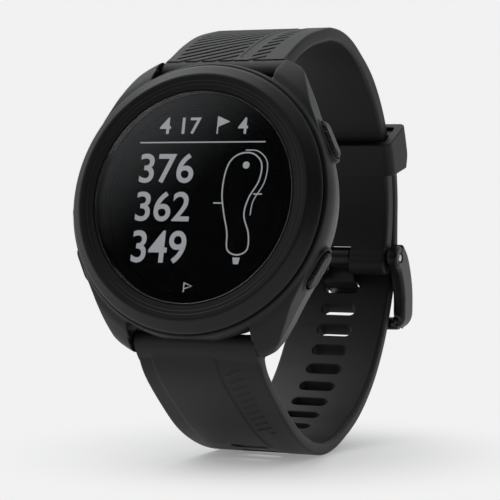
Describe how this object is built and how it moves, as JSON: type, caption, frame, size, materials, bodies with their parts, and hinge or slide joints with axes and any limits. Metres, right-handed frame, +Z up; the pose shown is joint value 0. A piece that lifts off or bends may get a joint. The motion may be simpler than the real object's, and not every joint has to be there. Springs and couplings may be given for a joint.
{
  "type": "golf gps watch",
  "caption": "Round wrist watch for golf with a flat lens, push buttons, a charging port and a perforated silicone strap closed by a pin buckle and sliding keeper.",
  "frame": {"origin": "centre of the bounding box at its base, on the surface the strap loop stands on", "axes": "+Z up, -Y towards the side the display faces, +X to the viewer's right when looking at the display"},
  "size_m": [0.0436, 0.0706, 0.0691],
  "materials": {
    "case_polymer": "fine matte, glass-filled polymer",
    "lens_glass": "polished, dark behind",
    "strap_silicone": "matte silicone",
    "buckle_metal": "matte black coating",
    "seal_rubber": "plain",
    "display_film": "smooth film",
    "light_guide": "diffusing white",
    "antenna_copper": "plated",
    "inner_plastic": "as moulded",
    "battery_foil": "foil pouch",
    "shield_tin": "stamped sheet",
    "circuit_board": "solder mask",
    "small_steel": "turned",
    "contact_gold": "plated"
  },
  "bodies": {
    "case": {"back_button_seal": "seal_rubber", "back_button_switch": "inner_plastic", "battery": "battery_foil", "bezel": "case_polymer", "board_shield": "shield_tin", "buckle_pin": "small_steel", "case_back": "case_polymer", "case_back_screw_1": "small_steel", "case_back_screw_2": "small_steel", "case_back_screw_3": "small_steel", "case_back_screw_4": "small_steel", "case_back_seal": "seal_rubber", "case_middle": "case_polymer", "charging_contact_1": "contact_gold", "charging_contact_2": "contact_gold", "charging_contact_3": "contact_gold", "charging_contact_4": "contact_gold", "charging_port_insert": "inner_plastic", "display_backlight": "light_guide", "display_panel": "display_film", "down_button_seal": "seal_rubber", "down_button_switch": "inner_plastic", "enter_button_seal": "seal_rubber", "enter_button_switch": "inner_plastic", "gps_antenna": "antenna_copper", "inner_carrier": "inner_plastic", "lens": "lens_glass", "lens_seal": "seal_rubber", "light_button_seal": "seal_rubber", "light_button_switch": "inner_plastic", "main_board": "circuit_board", "spring_bar_spring_lower": "small_steel", "spring_bar_spring_upper": "small_steel", "spring_bar_tube_lower": "small_steel", "spring_bar_tube_upper": "small_steel", "strap_long": "strap_silicone", "strap_short": "strap_silicone", "up_button_seal": "seal_rubber", "up_button_switch": "inner_plastic"},
    "enter_button": {"enter_button": "case_polymer"},
    "back_button": {"back_button": "case_polymer"},
    "light_button": {"light_button": "case_polymer"},
    "up_button": {"up_button": "case_polymer"},
    "down_button": {"down_button": "case_polymer"},
    "strap_keeper": {"strap_keeper": "strap_silicone"},
    "buckle_frame": {"buckle_frame": "buckle_metal"},
    "buckle_tang": {"buckle_tang": "buckle_metal"},
    "upper_release": {"spring_bar_tip_upper": "small_steel"},
    "lower_release": {"spring_bar_tip_lower": "small_steel"}
  },
  "joints": [
    {"name": "enter_button_press", "type": "slide", "parent": "case", "child": "enter_button", "axis": [-0.891, -0.1029, -0.4422], "range_m": [0, 0.0005], "stiffness_N_per_m": 800, "springref_m": -0.0005},
    {"name": "back_button_press", "type": "slide", "parent": "case", "child": "back_button", "axis": [-0.891, 0.1029, 0.4422], "range_m": [0, 0.0005], "stiffness_N_per_m": 800, "springref_m": -0.0005},
    {"name": "light_button_press", "type": "slide", "parent": "case", "child": "light_button", "axis": [0.891, -0.1029, -0.4422], "range_m": [0, 0.0005], "stiffness_N_per_m": 800, "springref_m": -0.0005},
    {"name": "up_button_press", "type": "slide", "parent": "case", "child": "up_button", "axis": [1, 0, 0], "range_m": [0, 0.0005], "stiffness_N_per_m": 800, "springref_m": -0.0005},
    {"name": "down_button_press", "type": "slide", "parent": "case", "child": "down_button", "axis": [0.891, 0.1029, 0.4422], "range_m": [0, 0.0005], "stiffness_N_per_m": 800, "springref_m": -0.0005},
    {"name": "keeper_slide_round_strap", "type": "hinge", "parent": "case", "child": "strap_keeper", "pos_m": [0.00045, 0.00181, 0.03975], "axis": [1, 0, 0], "range_deg": [-12, 20]},
    {"name": "buckle_frame_swing", "type": "hinge", "parent": "case", "child": "buckle_frame", "pos_m": [0.00045, 0.02911, 0.03075], "axis": [1, 0, 0], "range_deg": [0, 75]},
    {"name": "buckle_tang_swing", "type": "hinge", "parent": "case", "child": "buckle_tang", "pos_m": [0.00045, 0.02911, 0.03075], "axis": [1, 0, 0], "range_deg": [-4, 2]},
    {"name": "upper_strap_release", "type": "slide", "parent": "case", "child": "upper_release", "axis": [-1, 0, 0], "range_m": [0, 0.001], "stiffness_N_per_m": 800, "springref_m": -0.001, "deforming": ["spring_bar_spring_upper"]},
    {"name": "lower_strap_release", "type": "slide", "parent": "case", "child": "lower_release", "axis": [-1, 0, 0], "range_m": [0, 0.001], "stiffness_N_per_m": 800, "springref_m": -0.001, "deforming": ["spring_bar_spring_lower"]}
  ]
}
